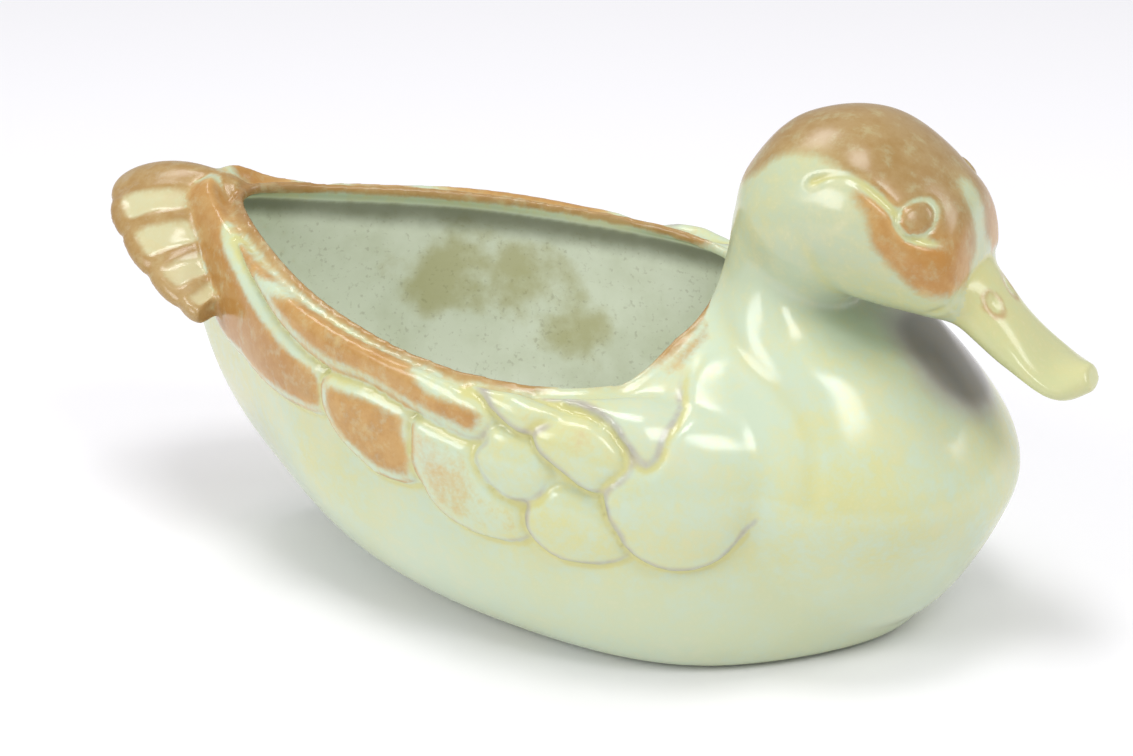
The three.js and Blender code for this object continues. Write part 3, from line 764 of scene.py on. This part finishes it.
def glazeMaterial(name, look):
    g = Glaze(name)
    large, patches = g.noise(46), g.noise(15, 4, 0.6, 0.31)
    grain, sand = g.noise(3.2, 4, 0.65, 0.57), g.noise(1.1, 2, 0.5, 0.83)
    rustMark, poolMark, lilacMark = g.painted("rust"), g.painted("pool"), g.painted("lilac")
    insideMark, shadeMark = g.painted("inside"), g.painted("shade")
    warmth = g.step(large * 0.5 + patches * 0.5 + grain * 0.45 + sand * 0.2, 0.68, 1.04)
    height = g.painted("upper")  # 1 on the head, below 0 under the belly line
    upper = g.step(height, 0.0, 1.0)
    warmth = warmth * (1 - 0.6 * g.step(height * -1, 0.0, 0.8))
    mint = g.mix(warmth, g.mix(upper, look["cool"], look["coolUpper"]),
                 g.mix(upper, look["warm"], look["warmUpper"]))
    paleness = g.step(patches * 0.5 + large * -0.35 + grain * 0.25, 0.16, 0.42)
    mint = g.mix(paleness * 0.4, mint, look["white"])
    mint = g.mix(g.step(sand * 0.6 + grain * 0.4, 0.5, 0.72) * 0.16, mint, look["insideDark"])
    poolWire = g.step(poolMark * (0.75 + 0.5 * grain), 0.12, 0.85)
    colour = g.mix(poolWire * 0.7, mint, look["pool"])
    lilacWire = g.step(lilacMark + (patches - 0.5) * 0.3 + (grain - 0.5) * 0.2, 0.12, 0.8)
    lilacTone = g.mix(g.step(lilacMark, 0.5, 1.0), look["lilac"], look["lilacDeep"])
    colour = g.mix(lilacWire * 0.8, colour, lilacTone)
    broken = rustMark + (patches - 0.5) * 1.1 + (grain - 0.5) * 0.8 + (sand - 0.5) * 0.3
    thin = g.step(g.noise(4, 4, 0.65, 2.3), 0.48, 0.72)
    rustWire = g.step(broken, -0.45, 0.45) * (1 - 0.28 * thin)
    tone = g.step(patches * 0.6 + grain * 0.5, 0.42, 0.7)
    rustTone = g.mix(g.painted("ember"), g.mix(tone, look["rust"], look["rustPale"]),
                     g.mix(tone, look["ember"], look["emberPale"]))
    rustTone = g.mix(g.step(broken, 0.35, 1.4) * 0.5, rustTone, look["rustDeep"])
    colour = g.mix(rustWire, colour, rustTone)
    # the well: the same glaze painted lighter than outside, painted light that makes up for the shade inside it
    hollow = g.mix(g.step(large * 0.5 + patches * 0.5, 0.42, 0.66), look["inside"], look["insideDark"])
    stain = g.noise(34, 3, 0.5, 1.9)
    hollow = g.mix(g.step(stain + (grain - 0.5) * 0.1, 0.56, 0.68) * 0.7, hollow, look["olive"])
    hollow = g.mix(g.step(shadeMark + (patches - 0.5) * 0.3, 0.35, 1.0) * 0.8, hollow, look["shade"])
    hollow = g.mix(g.step(sand + (grain - 0.5) * 0.4, 0.58, 0.76) * 0.25, hollow, look["speck"])
    colour = g.mix(insideMark, colour, hollow)
    bump = g.node("ShaderNodeBump", None, Strength=0.2, Distance=0.0002,
                  Height=patches * 0.5 + grain * 0.35 + sand * 0.1)
    rough = look["roughness"] + look["roughnessVaries"] * grain + 0.06 * rustWire
    return g.finish(bump, Base_Color=colour, Roughness=rough)


# The pieces: the skin is shared out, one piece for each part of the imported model

pieces = [
    {"name": "basin_glazed", "node": "basin", "owner": 0, "side": 0, "slot": "basin_glaze"},
    {"name": "neck_and_head_glazed", "node": "neck_and_head", "owner": 1, "side": 0, "slot": "head_glaze"},
    {"name": "bill_glazed", "node": "bill", "owner": 2, "side": 0, "slot": "bill_glaze"},
    {"name": "wing_right_feathers", "node": "wing_right", "owner": 3, "side": -1, "slot": "wing_glaze"},
    {"name": "wing_left_feathers", "node": "wing_left", "owner": 3, "side": 1, "slot": "wing_glaze"},
    {"name": "tail_fan_glazed", "node": "tail_fan", "owner": 4, "side": 0, "slot": "tail_glaze"},
    {"name": "eye_right_glazed", "node": "eye_right", "owner": 5, "side": -1, "slot": "eye_glaze"},
    {"name": "eye_left_glazed", "node": "eye_left", "owner": 5, "side": 1, "slot": "eye_glaze"},
]

billLook = dict(glazeLook, coolUpper=paint(200, 203, 152), warmUpper=paint(206, 199, 136),
                white=paint(210, 209, 164))
tailLook = dict(glazeLook, cool=paint(202, 198, 158), warm=paint(204, 190, 140))
looks = {"basin_glaze": glazeLook, "head_glaze": glazeLook, "bill_glaze": billLook,
         "wing_glaze": glazeLook, "tail_glaze": tailLook, "eye_glaze": glazeLook}
materials = {slot: glazeMaterial(slot, look) for slot, look in looks.items()}

originShift = np.array([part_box("tail_fan")[0].x / mm - tail["edgeX"] + tail["scallop"], 0.0, 0.0])
skin = skin + originShift
faceOwner = owner[quads[:, 0]]
faceSide = np.sign(skin[quads].mean(1)[:, 1])


def makePiece(piece):
    chosen = faceOwner == piece["owner"]
    if piece["side"]:
        chosen &= faceSide == piece["side"]
    faces = quads[chosen]
    used, faces = np.unique(faces, return_inverse=True)
    faces = faces.reshape(-1, 4)
    thing = makeMesh(piece["name"], skin[used], faces)
    mesh = thing.data
    mesh.shade_smooth()
    mesh.normals_split_custom_set_from_vertices(normals[used])
    for key, values in attributes.items():
        layer = mesh.attributes.new(key, "FLOAT", "POINT")
        layer.data.foreach_set("value", values[used].astype(np.float32))
    mesh.materials.append(materials[piece["slot"]])
    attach(thing, "root")
    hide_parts(piece["node"])
    print(piece["name"], len(faces), "faces")
    return thing


discard(shell)
made = [makePiece(piece) for piece in pieces]


# Studio: white floor, soft boxes and the camera

studio = {
    "target": (-1.209, 0.0, 46.774), "azimuth": 26.162, "elevation": 24.307, "distance": 636.318,
    "lens": 87.41, "roll": -2.05, "floorColour": paint(244, 243, 247), "fill": 0.48,
    "lamps": [
        {"name": "window_left", "azimuth": -30, "elevation": 32, "away": 1.1, "size": (0.5, 0.42), "power": 3.9},
        {"name": "window_right", "azimuth": 58, "elevation": 50, "away": 1.1, "size": (0.3, 0.34), "power": 2.6},
        {"name": "side_right", "azimuth": 118, "elevation": 28, "away": 1.2, "size": (0.3, 0.5), "power": 2.2},
        {"name": "top_left", "azimuth": -112, "elevation": 58, "away": 1.2, "size": (0.45, 0.3), "power": 2.6},
        {"name": "overhead", "azimuth": 20, "elevation": 82, "away": 1.1, "size": (0.4, 0.3), "power": 3.2},
    ],
}


def direction(azimuth, elevation):
    a, e = math.radians(azimuth), math.radians(elevation)
    return Vector((math.sin(a) * math.cos(e), -math.cos(a) * math.cos(e), math.sin(e)))


target = (Vector(studio["target"]) + Vector(originShift)) * mm
back = direction(studio["azimuth"], studio["elevation"])
a = math.radians(studio["azimuth"])
r = math.radians(studio["roll"])
level = Vector((math.cos(a), math.sin(a), 0))
upright = back.cross(level)
rightwards = level * math.cos(r) + upright * math.sin(r)
upwards = upright * math.cos(r) - level * math.sin(r)
camera = bpy.data.objects.new("camera", bpy.data.cameras.new("camera"))
scene.collection.objects.link(camera)
camera.data.sensor_width = 36
camera.data.lens = studio["lens"]
camera.data.clip_start = 0.01
place = Matrix((rightwards, upwards, back)).transposed().to_4x4()
place.translation = target + back * studio["distance"] * mm
camera.matrix_world = place
scene.camera = camera

for lamp in studio["lamps"]:
    light = bpy.data.lights.new(lamp["name"], "AREA")
    light.shape = "RECTANGLE"
    light.size, light.size_y = lamp["size"]
    light.energy = lamp["power"]
    shown = bpy.data.objects.new(lamp["name"], light)
    scene.collection.objects.link(shown)
    aim = direction(lamp["azimuth"], lamp["elevation"])
    shown.location = target + aim * lamp["away"]
    shown.rotation_euler = aim.to_track_quat("Z", "Y").to_euler()

floorSize = 6.0
corners = np.array([(-1, -1, 0), (1, -1, 0), (1, 1, 0), (-1, 1, 0)]) * floorSize / mm / 2
floor = makeMesh("floor", corners, np.array([[0, 1, 2, 3]]))
floorPaint = Glaze("floor_paint")
cloud = floorPaint.noise(60, 2, 0.5)
floorPaint.finish(floorPaint.node("ShaderNodeBump", None, Strength=0.02, Distance=0.0001, Height=cloud),
                  Base_Color=floorPaint.mix(cloud * 0.05, studio["floorColour"], paint(250, 249, 252)),
                  Roughness=0.9)
floor.data.materials.append(floorPaint.material)

world = bpy.data.worlds.new("studio")
scene.world = world
world.use_nodes = True
sky = Glaze("studio", world.node_tree)
seen = sky.node("ShaderNodeLightPath")
strength = studio["fill"] + (1 - studio["fill"]) * seen
glow = sky.node("ShaderNodeBackground", None, Color=(1, 1, 1, 1), Strength=strength)
sky.node("ShaderNodeOutputWorld", None, out=None, Surface=glow)
scene.view_settings.view_transform = "Standard"
print("studio ready")
